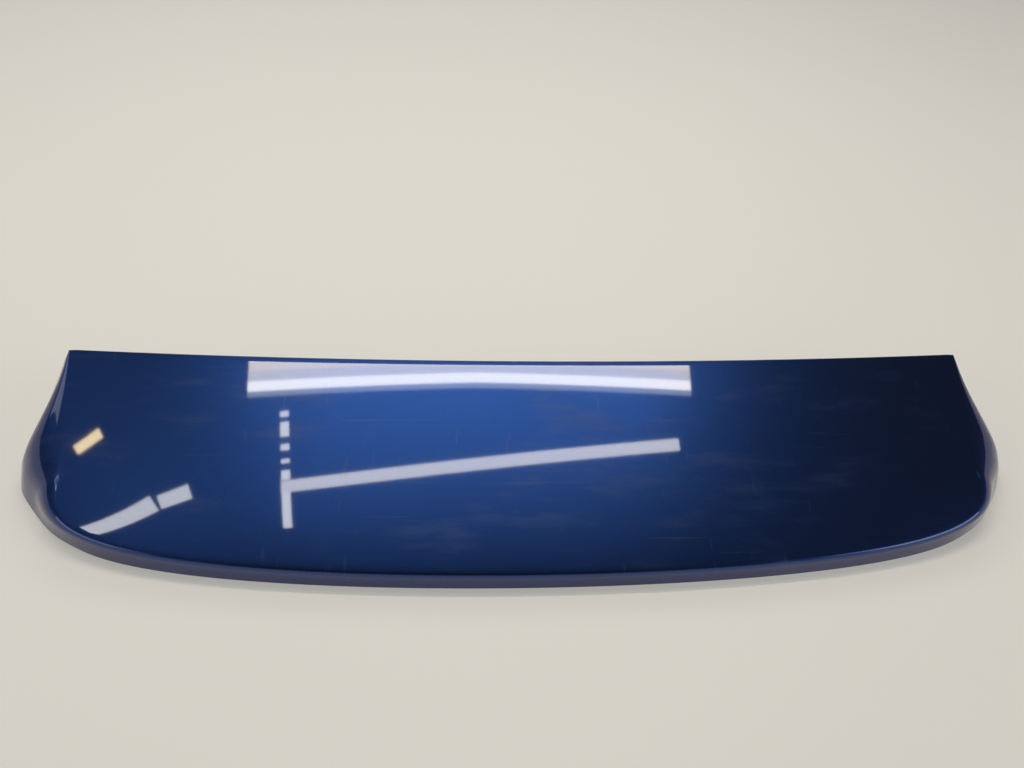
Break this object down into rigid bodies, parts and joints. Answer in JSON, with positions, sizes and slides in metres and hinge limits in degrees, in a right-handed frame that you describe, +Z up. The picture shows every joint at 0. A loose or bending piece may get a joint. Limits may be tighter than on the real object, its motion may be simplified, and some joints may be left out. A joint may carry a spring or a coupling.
{
  "type": "tailgate spoiler",
  "caption": "Glossy dark blue roof-edge tailgate spoiler with black inner shell, studs and seals, lying top side up.",
  "frame": {"origin": "middle of the plan box, at the height of the surface it lies on", "axes": "+X along the width to the right, +Y towards the front edge that meets the roof, +Z up"},
  "size_m": [1.1592, 0.2728, 0.102],
  "materials": {
    "blue_paint": "gloss",
    "black_plastic": "matte",
    "adhesive": "matte",
    "plated_steel": "satin",
    "foam": "matte",
    "nylon": "satin",
    "tape": "matte"
  },
  "bodies": {
    "root": {"upper_skin": "blue_paint", "lower_shell": "black_plastic", "bond_bead": "adhesive", "fixing_studs": "plated_steel", "stud_seals": "foam", "side_clips": "nylon", "front_seal": "foam", "flank_tape_left": "tape", "flank_tape_right": "tape"}
  },
  "joints": []
}
